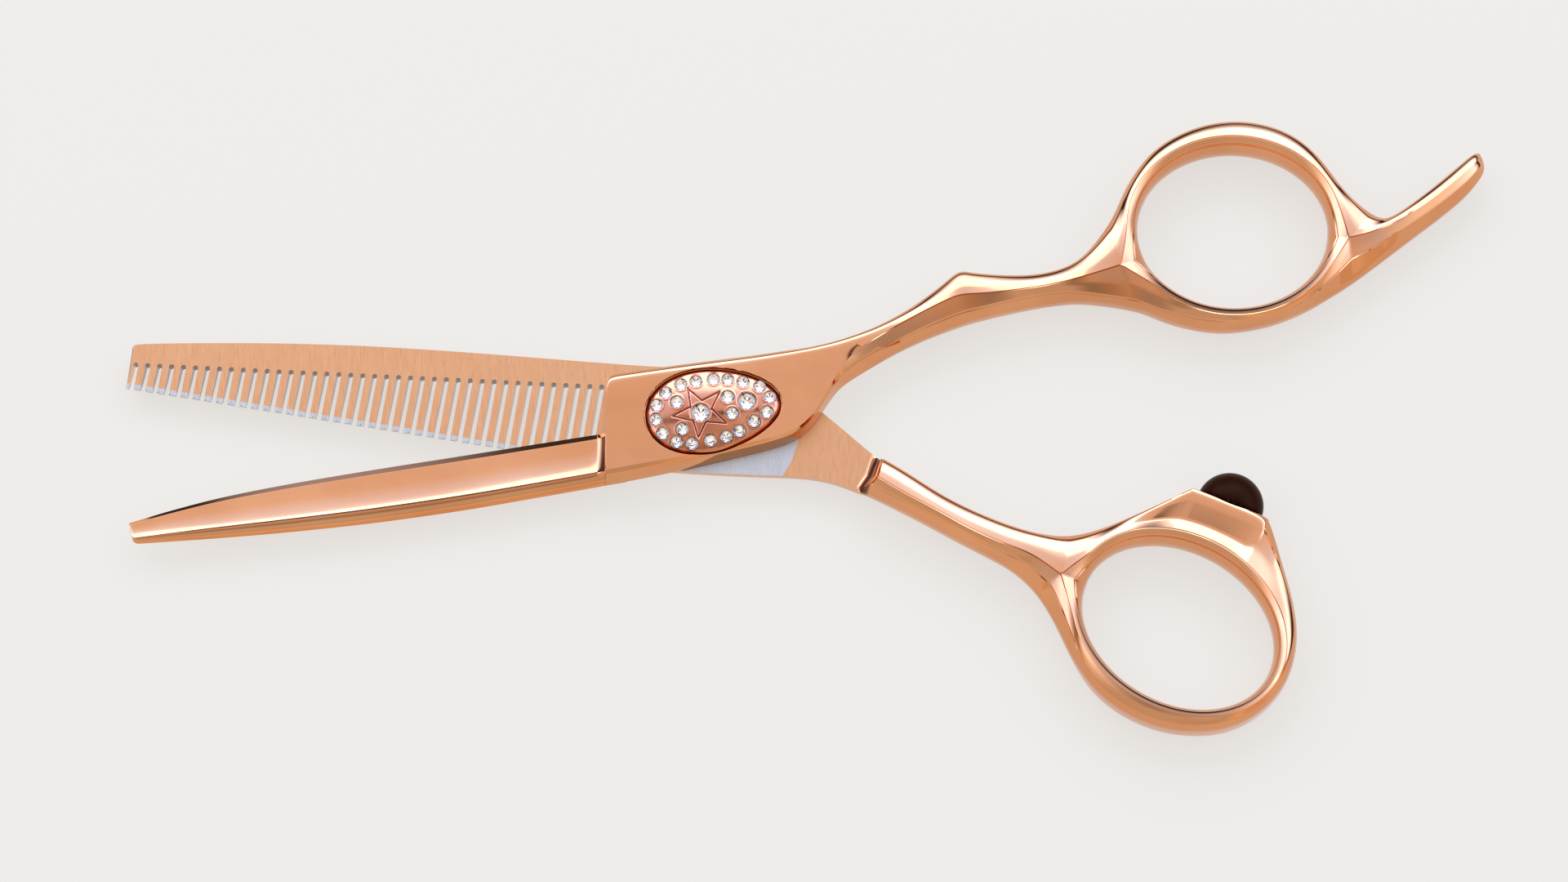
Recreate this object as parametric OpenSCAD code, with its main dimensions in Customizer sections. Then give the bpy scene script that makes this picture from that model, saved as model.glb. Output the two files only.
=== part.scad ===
// Hair thinning shears with an offset finger handle, a fixed finger rest
// and a crystal-set cap over the pivot.
// Frame: the pivot axis is Z, the shears lie on z = 0, the tips point to -X.

/* [Blades] */
// Height of the plane where the two halves meet
mating_z = 3.3; // [3:0.1:3.6]
// Thickness of the comb half beside the pivot
comb_t = 2.3; // [2:0.1:2.4]
// Thickness of the plain half beside the pivot
block_t = 2.8; // [2.6:0.1:3]
// Number of slots in the comb blade
slot_count = 40; // [20:1:42]
// Distance between slots along the comb
tooth_pitch = 1.445; // [1.4:0.005:1.46]
// Width of each slot
slot_w = 0.6; // [0.4:0.05:0.8]

/* [Pivot] */
// Radius of the pivot bolt where the bush runs
bolt_r = 2.5; // [2:0.1:2.7]
// Radius of the bolt's threaded end
stud_r = 1.5; // [1.2:0.1:1.8]
// Outer radius of the bush
bush_r = 3.5; // [3.2:0.1:3.8]
// Outer radius of the tension nut
nut_r = 5.5; // [5:0.1:6]
// Radial running clearance between the bolt and the bush
running_fit = 0.05; // [0.02:0.01:0.1]
// Number of grip notches round the tension nut
nut_notches = 24; // [12:1:30]

/* [Pivot cap] */
// Half length of the egg-shaped cap
cap_a = 8.4; // [8:0.1:8.6]
// Half width of the egg-shaped cap
cap_b = 5.3; // [5:0.1:5.4]
// Radius of the rim crystals
rim_r = 0.75; // [0.5:0.05:0.8]

/* [Handles] */
// Thickness of the rings and of the finger rest
handle_t = 6.6; // [6.2:0.1:6.6]
// Half length and half width of the finger hole
finger_hole = [11.6, 9.85]; // [9:0.05:12]
// Half length and half width of the thumb hole
thumb_hole = [12.2, 9.25]; // [9:0.05:12.5]
// Width of the inner slope of both rings
inner_slope = 1.4; // [1:0.1:1.6]
// Radius of the bumper
bumper_r = 4.1; // [3.6:0.1:4.2]

/* [Hidden] */
$fn = 48;
steps = 3;                        // points between two stations of a handle
ride_gap = 0.1;                   // between the faces of the two halves
press = 0.02;                     // clearance of glued and pressed pieces
eps = 0.5;                        // overrun of every cutter

comb_top = mating_z - ride_gap;
comb_bottom = comb_top - comb_t;
block_top = mating_z + block_t;
mid_z = handle_t / 2;

rose = [0.86, 0.60, 0.46];
copper = [0.78, 0.45, 0.36];
steel = [0.78, 0.79, 0.82];
crystal_white = [0.93, 0.95, 1.0];
dark_brown = [0.16, 0.06, 0.04];

// ---- pivot stack, from the bottom up ----
nut_dial_t = 0.85;
nut_floor = 0.08;                 // skin that closes the nut's thread from below
notch_r = 0.35;
notch_low = 0.25;                 // height where the grip notches start
spot_depth = 0.75;                // recess under the comb blade for the washers
spot_r = 4.6;
washer_gap = 0.05;
washer_t = 0.25;
washer_r = 4.3;
shoulder_z = comb_bottom + spot_depth;
bolt_head_r = 4.3;
bolt_head_t = 0.7;
bolt_end = 0.1;                   // height of the bolt's lower end
cap_floor = mating_z + 1.9;       // floor of the recess that holds the cap
cap_rim = block_top + 0.1;        // height of the cap at its edge
cap_dome = 0.6;                   // rise of the cap above its edge
head_floor = cap_floor - bolt_head_t - press;
cap_centre = [1.55, 0.6];
cap_tilt = 8;
cap_taper = 0.16;                 // how much slimmer the far end of the egg is

// ---- crystals: [x, y, radius] inside the rim, [x, y] round the rim ----
inner_stones = [[-2.86, 1.43, 0.75], [-2.2, -1.94, 0.75], [3.84, -0.04, 0.75], [3.29, 2, 0.8]];
star_stone = [0, 0, 1.1];
large_stone = [5.59, 1.49, 1.05];
rim_places = [
    [-2.38, 3.65], [-0.55, 4.02], [1.55, 4.28], [3.28, 4.27], [5.13, 4.0], [7.15, 3.45],
    [8.4, 2.15], [8.05, 0.25], [6.51, -0.91], [4.73, -2.15], [3.15, -2.86], [1.22, -3.35],
    [-1.03, -3.72], [-2.9, -3.48], [-4.57, -2.4], [-5.42, -0.66], [-5.3, 1.12], [-4.2, 2.64]
];
stone_girdle = 0.3;
stone_crown = 0.3;                // height of a crystal's crown as a part of its radius
stone_sink = 0.25;                // depth of each crystal's seat
stone_table = 0.62;               // table of a crystal as a part of its radius

// ---- blades ----
weld_top = [15.5, 9.1];
weld_bottom = [17, 4];
blade_tilt = 9.3;                 // the plain blade's axis below -X
comb_tilt = 9.4;                  // the tooth line below +X
blade_len = 80;                   // stock that each blade is cut from
comb_len = 110;
// Sections of the blades: [along the face from the pivot's axis, height]
blade_section = [
    [3, mating_z - eps], [3, mating_z + 0.1], [-4.2, mating_z + 1.8], [-8, mating_z + 1.1],
    [-8, mating_z - eps]
];
comb_section = [
    [-20, comb_top + eps], [-20, comb_bottom - eps], [-9, comb_bottom - eps],
    [-8.5, comb_top - 0.8], [-5.5, comb_bottom], [1, comb_bottom], [9, comb_bottom + 1.3],
    [9, comb_top + eps]
];
slot_start = [-68.7, 6.9];        // top of the first slot
slot_drift = [1.1, 6.6];          // how far the last slot's top leaves the tooth line
slot_len = 10;

plain_outline = [
    [-11.4, -1.9], [-29.5, -4.7], [-49.9, -8.1], [-60.5, -10.3], [-69, -12.9],
    [-68.9, -14.6], [-67.9, -15.4], [-54, -14.4], [-42, -13.2], [-26, -10.9], [-11.4, -8.2]
];
block_outline = [
    [-11.4, 3.7], [-11.1, 4.6], [-10, 5.1], [0.3, 6.7], [7.1, 7.6], [13.4, 8.6], weld_top,
    weld_bottom, [14.6, 1.1], [13.2, -1], [11.2, -2.9], [4.5, -4.7], [-3.4, -6.6], [-11.4, -8.2]
];
comb_outline = [
    [-69.6, 4], [-68.8, 8.9], [-68.2, 9.4], [-60, 9.6], [-52.3, 9.6], [-40, 9.2], [-29.5, 8.5],
    [-16, 7.5], [-6.2, 6.6], [0, 6.6], [6, 5.7], [11, 3.8], [14.3, 1.3], [20.9, -4.4],
    [19, -9], [16.2, -7.8], [12, -7.1], [4.2, -6.7], [-3.8, -6.3], [-9, -5.8], [-12.2, -5.4],
    [-25.5, -3.3], [-47.6, 0.3]
];

// ---- handles: each shank station is
//      [outer x, y, crest x, y, lower x, y, top z, bottom z] ----
finger_shank = [
    [15.5, 9.1, 16.3, 6.38, 17, 4, 6.1, 3.3], [20, 10.5, 21.2, 8.4, 22, 7.3, 6.3, 2.9],
    [25, 13.2, 26, 11.3, 26.7, 9.8, 6.5, 2], [28.5, 15.8, 29.8, 13.4, 30.6, 11.3, 6.6, 0.9],
    [31.3, 18, 32.6, 15, 33.5, 12.3, 6.6, 0.3], [35, 17.9, 36, 15.4, 36.6, 13.1, 6.6, 0],
    [39, 17.7, 39.6, 15.8, 40, 13.9, 6.6, 0], [43, 18.3, 43.4, 16.4, 43.5, 14.4, 6.6, 0],
    [46.4, 20, 47.2, 17.4, 47, 14.7, 6.6, 0], [49.6, 24.2, 51.2, 19, 53.3, 13.7, 6.6, 0]
];
// Stations round a ring: [angle on the crest ellipse, outline x, outline y]
finger_over = [
    [201, 49.6, 24.2], [180, 50.9, 26.8], [160, 52.2, 29.6], [140, 54.9, 33.3],
    [120, 58.6, 35.8], [100, 62.9, 37.2], [80, 67.4, 37.3], [60, 71.9, 35.9],
    [40, 75.4, 33], [20, 78.4, 28.7], [-8, 82, 25.5]
];
finger_under = [
    [201, 53.3, 13.7], [225, 56.3, 12.4], [250, 60, 11.3], [270, 64, 10.9],
    [290, 69, 11.7], [315, 73.2, 13.3], [335, 76.2, 15], [352, 79.5, 17.1]
];
finger_rest = [
    [82, 25.5, 78.9, 22, 79.5, 17.1, 6.6, 0], [84.2, 25.1, 82, 22.9, 83, 19.8, 6.4, 0.2],
    [87, 27.1, 85.6, 24.6, 87.2, 23, 6.2, 0.4], [90, 29.5, 88.9, 27, 90.6, 25.6, 6, 0.7],
    [92.8, 31.8, 92.4, 29.8, 93.3, 28, 5.8, 1], [94.5, 33, 94.9, 31.6, 95.6, 30.5, 5.5, 1.3],
    [95.3, 33.3, 95.6, 32.8, 95.9, 32.3, 4.6, 2.2]
];
thumb_shank = [
    [20.9, -4.4, 20, -6.58, 19, -9, 6.2, 0.9], [24.5, -6.4, 23.5, -8.6, 22.3, -10.6, 6.4, 0.5],
    [28.4, -9, 27.6, -10.9, 26.6, -12.8, 6.5, 0.2], [32.5, -11.1, 31.8, -12.9, 30.8, -14.9, 6.6, 0],
    [36.8, -13.1, 35.8, -15, 34.6, -16.8, 6.6, 0], [40.5, -14.3, 39.6, -16.9, 37.6, -18.7, 6.6, 0],
    [44.5, -14.7, 43.3, -19.9, 40.5, -21.6, 6.6, 0]
];
thumb_round = [
    [192, 44.5, -14.7], [172, 48.2, -13.9], [152, 52.2, -12.3], [134, 56.2, -10.6],
    [120, 59.1, -9.2], [115, 59.9, -9.1], [98, 63.9, -10.8], [82, 68, -12.4],
    [76, 68.6, -13.2], [64, 69.4, -15.6], [49, 70.3, -18.8], [32, 71.3, -22.5],
    [15, 71.8, -26.5], [-2, 71.4, -30], [-20, 70, -33.5], [-40, 67.1, -36.6],
    [-60, 63, -38.6], [-80, 58.3, -38.9], [-100, 53.9, -38], [-120, 49.8, -35.9],
    [-138, 46.8, -33.1], [-152, 44.6, -29.6], [-162, 42.8, -25.6], [-168, 40.5, -21.6]
];
finger_centre = [64.9, 23.7];
thumb_centre = [57.5, -25.8];
thumb_tilt = -32;                 // turn of the oval thumb hole
seat = [64, -10.8];               // middle of the bumper's seat
seat_tilt = 22;                   // slope of the seat down towards +X
bumper_side = 0.15;               // flat trimmed off each side of the bumper
bumper_foot = 0.15;               // rise of the bumper's foot above its seat
pin_r = 1.1;
pin_len = 3.2;

// A rail's profile from its outline (0) to its crest (1): [across, height]
profile = [[0, 0.2], [0.16, 0.72], [0.5, 0.94], [1, 1]];

// ---- curve helpers ----
function spline(a, b, c, d, t) =
    0.5 * (2 * b + (c - a) * t + (2 * a - 5 * b + 4 * c - d) * t * t
        + (3 * b - a - 3 * c + d) * t * t * t);
function smooth(p) = let (last = len(p) - 1) [
    for (i = [0:last - 1], j = [0:steps - 1])
        spline(p[max(i - 1, 0)], p[i], p[i + 1], p[min(i + 2, last)], j / steps),
    p[last]
];
function even(p) = let (last = len(p) - 1) [
    for (i = [0:last - 1], j = [0:steps - 1]) p[i] + (p[i + 1] - p[i]) * j / steps,
    p[last]
];
function tail(p) = [for (i = [1:len(p) - 1]) p[i]];
function flip(p) = [for (i = [len(p) - 1:-1:0]) p[i]];
function turned(p, a) = [p.x * cos(a) - p.y * sin(a), p.x * sin(a) + p.y * cos(a)];
function oval(c, r, tilt, t) = c + turned([r.x * cos(t), r.y * sin(t)], tilt);
// The crest of a ring bulges out where a shank or the finger rest joins it
function bulge(t, at, rise) = rise * pow(max(0, 1 - abs(t - at) / 26), 2);
function egg(inset, t) = cap_centre + turned(
    [(cap_a - inset) * cos(t), (cap_b - inset) * sin(t) * (1 - cap_taper * cos(t))], cap_tilt);

// Sections: [outline x, y, crest x, y, top z, bottom z] at every point of a rail
function section(o, c, z) = [o.x, o.y, c.x, c.y, z[0], z[1]];
function column(s) = concat(
    [for (k = [3:-1:0]) let (p = profile[k])
        [s[0] + (s[2] - s[0]) * p[0], s[1] + (s[3] - s[1]) * p[0], mid_z + (s[5] - mid_z) * p[1]]],
    [for (k = [0:3]) let (p = profile[k])
        [s[0] + (s[2] - s[0]) * p[0], s[1] + (s[3] - s[1]) * p[0], mid_z + (s[4] - mid_z) * p[1]]]
);
rows = 8;
function skin(cols, start, out) = [
    for (i = [0:cols - 2], k = [0:rows - 2]) let (
        a = start + i * rows + k,
        b = a + 1,
        c = a + rows + 1,
        d = a + rows
    ) each (out ? [[a, b, c], [a, c, d]] : [[a, c, b], [a, d, c]])
];
function cap_face(upper, lower) = concat(
    [for (k = [0:rows - 1]) upper + k],
    [for (k = [rows - 2:-1:1]) lower + k]
);

// ---- modules: the plain half ----
module slab(points, low, high) {
    translate([0, 0, low])
        linear_extrude(high - low)
            polygon(points);
}

module egg_prism(inset, low, high) {
    slab([for (i = [0:71]) egg(inset, i * 5)], low, high);
}

module plain_blade() {
    color(rose)
    difference() {
        union() {
            slab(block_outline, mating_z, block_top);
            intersection() {
                slab(plain_outline, mating_z, block_top);
                rotate([0, 0, blade_tilt])
                    translate([-blade_len, 0, 0])
                        rotate([90, 0, 90])
                            linear_extrude(blade_len)
                                polygon(blade_section);
            }
        }
        egg_prism(0, cap_floor, block_top + eps);
        translate([0, 0, head_floor])
            cylinder(r = bolt_head_r + press, h = cap_floor - head_floor + eps);
        translate([0, 0, mating_z - eps])
            cylinder(r = bolt_r + press, h = block_t + eps);
    }
}

module handle_mesh(upper, lower, inner, closed) {
    nu = len(upper);
    nl = len(lower);
    ni = len(inner);
    first_lower = nu * rows;
    first_inner = (nu + nl) * rows;
    points = [for (s = concat(upper, lower, inner)) each column(s)];
    ends = closed ? [cap_face((nu - 1) * rows, first_lower + (nl - 1) * rows)] : [];
    faces = concat(
        skin(nu, 0, true),
        skin(nl, first_lower, false),
        skin(ni, first_inner, false),
        [flip(cap_face(0, first_lower))],
        ends
    );
    polyhedron(points, faces, convexity = 6);
}

function ring_crest(c, r, tilt, t, joints) =
    let (k = 1 + bulge(t, joints[0][0], joints[0][1]) + bulge(t, joints[1][0], joints[1][1]))
    c + k * (oval([0, 0], r, tilt, t));
function pick(stations, k) = [for (s = stations) [s[k], s[k + 1]]];

finger_joint = 201;               // where the shank meets the ring
finger_joints = [[finger_joint, 0.123], [-8, 0.075]];
thumb_joints = [[192, 0.13], [-168, 0.13]];
function finger_crest(t) = ring_crest(finger_centre, finger_hole + [inner_slope, inner_slope], 0,
    t > 260 ? t - 360 : t, finger_joints);

module finger_handle() {
    shank_crest = smooth(pick(finger_shank, 2));
    shank_z = smooth(pick(finger_shank, 6));
    rest_crest = smooth(pick(finger_rest, 2));
    rest_z = smooth(pick(finger_rest, 6));
    over_t = even([for (s = finger_over) s[0]]);
    under_t = even([for (s = finger_under) s[0]]);
    over_crest = [for (t = over_t) finger_crest(t)];
    under_crest = [for (t = under_t) t == finger_joint ? over_crest[0] : finger_crest(t)];
    joint_in = shank_crest[len(shank_crest) - 1];
    joint_out = rest_crest[0];
    over_line = concat([joint_in], [for (i = [1:len(over_crest) - 2]) over_crest[i]], [joint_out]);
    under_line = concat([joint_in], [for (i = [1:len(under_crest) - 2]) under_crest[i]], [joint_out]);
    full = [handle_t, 0];
    upper_out = smooth(concat(pick(finger_shank, 0), tail(pick(finger_over, 1)),
        tail(pick(finger_rest, 0))));
    lower_out = smooth(concat(pick(finger_shank, 4), tail(pick(finger_under, 1)),
        tail(pick(finger_rest, 4))));
    upper_crest = concat(shank_crest, tail(over_line), tail(rest_crest));
    lower_crest = concat(shank_crest, tail(under_line), tail(rest_crest));
    upper_z = concat(shank_z, [for (i = [2:len(over_line)]) full], tail(rest_z));
    lower_z = concat(shank_z, [for (i = [2:len(under_line)]) full], tail(rest_z));
    loop_crest = concat(over_line, tail(flip(under_line)));
    loop_t = concat(over_t, tail(flip(under_t)));
    hole = [for (t = loop_t) oval(finger_centre, finger_hole, 0, t)];
    color(rose)
        handle_mesh(
            [for (i = [0:len(upper_out) - 1]) section(upper_out[i], upper_crest[i], upper_z[i])],
            [for (i = [0:len(lower_out) - 1]) section(lower_out[i], lower_crest[i], lower_z[i])],
            [for (i = [0:len(hole) - 1]) section(hole[i], loop_crest[i], full)],
            true
        );
}

module pivot_bolt() {
    color(steel) {
        translate([0, 0, bolt_end])
            cylinder(r = stud_r, h = shoulder_z);
        translate([0, 0, shoulder_z + bolt_end])
            cylinder(r = bolt_r, h = head_floor - shoulder_z);
        translate([0, 0, head_floor])
            cylinder(r = bolt_head_r, h = bolt_head_t);
    }
}

rim_stones = [for (p = rim_places) [p.x, p.y, rim_r]];
all_stones = concat(rim_stones, inner_stones, [star_stone, large_stone]);
dome_r = (pow(cap_a, 2) + pow(cap_dome, 2)) / (2 * cap_dome);
// Height of the cap's dome above a point of the plan
function dome_z(p) = let (d = p - cap_centre)
    cap_rim + cap_dome - dome_r + sqrt(pow(dome_r, 2) - d.x * d.x - d.y * d.y);

module jewel_plate() {
    color(copper)
    difference() {
        intersection() {
            egg_prism(0.1, cap_floor + press, block_top + 2);
            translate([cap_centre.x, cap_centre.y, cap_rim + cap_dome - dome_r])
                sphere(r = dome_r, $fn = 240);
        }
        for (s = all_stones)
            translate([s[0], s[1], dome_z([s[0], s[1]]) - stone_sink])
                cylinder(r = s[2] + press, h = 2);
    }
}

// A round brilliant: a straight girdle and a crown that slopes up to a flat table
module brilliant(s) {
    color(crystal_white)
    translate([s[0], s[1], dome_z([s[0], s[1]]) - stone_sink]) {
        cylinder(r = s[2], h = stone_girdle);
        translate([0, 0, stone_girdle])
            cylinder(r1 = s[2], r2 = s[2] * stone_table, h = s[2] * stone_crown);
    }
}

// ---- modules: the comb half ----
module slot(i) {
    top = slot_start + turned([i * tooth_pitch, 0], -comb_tilt) + slot_drift * i / slot_count;
    translate([top.x, top.y, 0])
        rotate([0, 0, -comb_tilt]) {
            cylinder(r = slot_w / 2, h = comb_top + eps, $fn = 24);
            translate([-slot_w / 2, -slot_len, 0])
                cube([slot_w, slot_len, comb_top + eps]);
        }
}

module comb_blade() {
    color(rose)
    difference() {
        intersection() {
            slab(comb_outline, comb_bottom, comb_top);
            rotate([0, 0, -comb_tilt])
                translate([-blade_len, 0, 0])
                    rotate([90, 0, 90])
                        linear_extrude(comb_len)
                            polygon(comb_section);
        }
        for (i = [0:slot_count - 1])
            slot(i);
        translate([0, 0, comb_bottom - eps])
            cylinder(r = spot_r, h = spot_depth + eps);
        translate([0, 0, comb_bottom])
            cylinder(r = bush_r + press, h = comb_t + eps);
    }
}

module thumb_handle() {
    crest_r = thumb_hole + [inner_slope, inner_slope];
    shank_crest = smooth(pick(thumb_shank, 2));
    shank_z = smooth(pick(thumb_shank, 6));
    round_t = even([for (s = thumb_round) s[0]]);
    joint_in = shank_crest[len(shank_crest) - 1];
    ring_line = concat([joint_in],
        [for (i = [1:len(round_t) - 2])
            ring_crest(thumb_centre, crest_r, thumb_tilt, round_t[i], thumb_joints)],
        [joint_in]);
    full = [handle_t, 0];
    out_line = smooth(concat(pick(thumb_shank, 0), tail(pick(thumb_round, 1)),
        tail(flip(pick(thumb_shank, 4)))));
    crest_line = concat(shank_crest, tail(ring_line), tail(flip(shank_crest)));
    z_line = concat(shank_z, [for (i = [2:len(ring_line)]) full], tail(flip(shank_z)));
    hole = [for (t = round_t) oval(thumb_centre, thumb_hole, thumb_tilt, t)];
    n = len(out_line);
    outer = [for (i = [0:n - 1]) section(out_line[i], crest_line[i], z_line[i])];
    inner = [for (i = [0:len(hole) - 1]) section(hole[i], ring_line[i], full)];
    first_inner = n * rows;
    color(rose)
        difference() {
            polyhedron(
                [for (s = concat(outer, inner)) each column(s)],
                concat(skin(n, 0, true), skin(len(inner), first_inner, false),
                    [flip(cap_face(0, (n - 1) * rows))]),
                convexity = 6
            );
            bumper_pin(pin_r + press);
        }
}

// The bumper's pin runs from its seat towards the thumb hole
module bumper_pin(r) {
    translate([seat.x, seat.y, mid_z])
        rotate([0, 0, -seat_tilt])
            rotate([90, 0, 0])
                translate([0, 0, -eps])
                    cylinder(r = r, h = pin_len + eps, $fn = 32);
}

module pivot_bush() {
    color(steel)
    difference() {
        translate([0, 0, shoulder_z])
            cylinder(r = bush_r, h = comb_top - shoulder_z);
        cylinder(r = bolt_r + running_fit, h = comb_top + eps);
    }
}

module bumper() {
    color(dark_brown)
    intersection() {
        translate([seat.x, seat.y, mid_z])
            rotate([0, 0, -seat_tilt])
                rotate([-90, 0, 0])
                    rotate_extrude()
                        intersection() {
                            circle(r = bumper_r);
                            translate([0, bumper_foot])
                                square([bumper_r, bumper_r]);
                        }
        translate([seat.x - 2 * bumper_r, seat.y - 2 * bumper_r, bumper_side])
            cube([4 * bumper_r, 4 * bumper_r, handle_t - 2 * bumper_side]);
    }
}

module bumper_screw() {
    color(steel)
    translate([seat.x, seat.y, mid_z])
        rotate([0, 0, -seat_tilt])
            rotate([90, 0, 0])
                cylinder(r = pin_r, h = pin_len - 0.1, $fn = 32);
}

// ---- modules: the tension stack ----
module washer(low) {
    translate([0, 0, low])
        difference() {
            cylinder(r = washer_r, h = washer_t);
            translate([0, 0, -eps])
                cylinder(r = stud_r + press, h = washer_t + 2 * eps);
        }
}

module thrust_washer() {
    color(steel) washer(shoulder_z - washer_gap - washer_t);
}

module spring_washer() {
    color(steel) washer(shoulder_z - 2 * (washer_gap + washer_t));
}

module tension_nut() {
    color(rose)
    difference() {
        cylinder(r = nut_r, h = nut_dial_t);
        translate([0, 0, nut_floor])
            cylinder(r = stud_r + running_fit, h = nut_dial_t);
        for (i = [0:nut_notches - 1])
            rotate([0, 0, i * 360 / nut_notches])
                translate([nut_r + press, 0, notch_low])
                    cylinder(r = notch_r, h = nut_dial_t, $fn = 16);
    }
}

plain_blade();
finger_handle();
pivot_bolt();
jewel_plate();
thrust_washer();
spring_washer();
comb_blade();
thumb_handle();
pivot_bush();
bumper();
bumper_screw();
tension_nut();
brilliant(star_stone);  // crystal_star
brilliant(large_stone);  // crystal_large
for (i = [1:len(rim_stones)])
    brilliant(rim_stones[i - 1]);
for (i = [1:len(inner_stones)])
    brilliant(inner_stones[i - 1]);
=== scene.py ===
"""Hair thinning shears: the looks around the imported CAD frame.

Lengths are millimetres until a mesh is made. The pivot's axis is Z and the tips point to -X.
"""

import math

import bmesh
import bpy
import numpy as np
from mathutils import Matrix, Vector


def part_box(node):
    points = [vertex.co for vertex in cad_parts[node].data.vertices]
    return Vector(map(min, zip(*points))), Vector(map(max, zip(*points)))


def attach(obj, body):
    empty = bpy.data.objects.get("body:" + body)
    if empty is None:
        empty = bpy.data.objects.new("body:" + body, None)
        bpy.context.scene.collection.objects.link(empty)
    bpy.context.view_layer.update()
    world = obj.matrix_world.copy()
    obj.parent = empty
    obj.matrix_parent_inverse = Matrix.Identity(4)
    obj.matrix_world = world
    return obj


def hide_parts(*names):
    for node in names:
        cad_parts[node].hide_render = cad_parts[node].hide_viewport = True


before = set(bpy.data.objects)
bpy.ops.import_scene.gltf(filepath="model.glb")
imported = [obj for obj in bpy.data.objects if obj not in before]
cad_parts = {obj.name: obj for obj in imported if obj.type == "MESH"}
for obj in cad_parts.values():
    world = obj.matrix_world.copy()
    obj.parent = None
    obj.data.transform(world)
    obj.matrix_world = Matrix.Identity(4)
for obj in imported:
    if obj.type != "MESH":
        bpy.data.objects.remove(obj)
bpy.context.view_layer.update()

MM = 0.001
STEPS = 14                 # mesh columns between two stations of a rail
MID = 3.3                  # height of the plane where the halves meet
RIDE = 3.2                 # inner face of the comb half


# ---------------------------------------------------------------- camera and studio
def make_camera():
    target = Vector((10.1, -2.65, MID)) * MM
    elevation = math.radians(76)
    distance = 792 * MM
    camera = bpy.data.objects.new("camera", bpy.data.cameras.new("camera"))
    camera.data.lens = 150
    camera.data.sensor_width = 36
    back = Vector((0, -math.cos(elevation), math.sin(elevation)))
    camera.location = target + back * distance
    camera.rotation_mode = "QUATERNION"
    camera.rotation_quaternion = (-back).to_track_quat("-Z", "Y")
    bpy.context.scene.collection.objects.link(camera)
    bpy.context.scene.camera = camera


def make_light(name, place, aim, size, power, colour=(1, 1, 1)):
    data = bpy.data.lights.new(name, "AREA")
    data.shape = "RECTANGLE"
    data.size, data.size_y = size
    data.energy = power
    data.color = colour
    light = bpy.data.objects.new(name, data)
    light.location = place
    light.rotation_mode = "QUATERNION"
    light.rotation_quaternion = (Vector(aim) - Vector(place)).to_track_quat("-Z", "Y")
    bpy.context.scene.collection.objects.link(light)


def make_floor():
    mesh = bpy.data.meshes.new("floor")
    bm = bmesh.new()
    bmesh.ops.create_grid(bm, x_segments=8, y_segments=8, size=3)
    bm.to_mesh(mesh)
    bm.free()
    floor = bpy.data.objects.new("floor", mesh)
    floor.location = (0, 0, -0.00005)
    bpy.context.scene.collection.objects.link(floor)
    paper = plain_material("floor_paper", (0.12, 0.098, 0.062), 0.6)
    shader = paper.node_tree.nodes["Principled BSDF"]
    shader.inputs["Specular IOR Level"].default_value = 0.2
    shader.inputs["Emission Color"].default_value = (1, 0.975, 0.95, 1)
    shader.inputs["Emission Strength"].default_value = 0.68
    mesh.materials.append(paper)


SKY_STRENGTH = 3.7
TINT_ROOM = 1.3            # the ramp's colours are divided by this, to stay below 1
NEUTRAL, COOL = (0.98, 1.02, 1.17), (0.73, 0.99, 1.64)
# sine of the elevation, brightness, tint
SKY = [
    (0.0, 0.012, NEUTRAL), (0.19, 0.016, NEUTRAL), (0.34, 0.3, COOL), (0.5, 0.8, COOL),
    (0.74, 0.85, COOL), (0.87, 0.42, COOL), (0.94, 0.29, NEUTRAL), (0.97, 0.28, NEUTRAL),
    (1.0, 0.19, NEUTRAL),
]
GAP_MIDDLE, GAP_TOP = 0.13, 0.9    # the dark gap between the lights: its y, and its lowest height


def sky_ramp(tree, height):
    ramp = node(tree, "ShaderNodeValToRGB")
    elements = ramp.color_ramp.elements
    elements[0].position, elements[1].position = SKY[0][0], SKY[-1][0]
    for place, *_ in SKY[1:-1]:
        elements.new(place)
    for element, (_, level, tint) in zip(elements, SKY):
        element.color = (*(level * c / TINT_ROOM for c in tint), 1)
    tree.links.new(height, ramp.inputs[0])
    return ramp.outputs[0]


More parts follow.
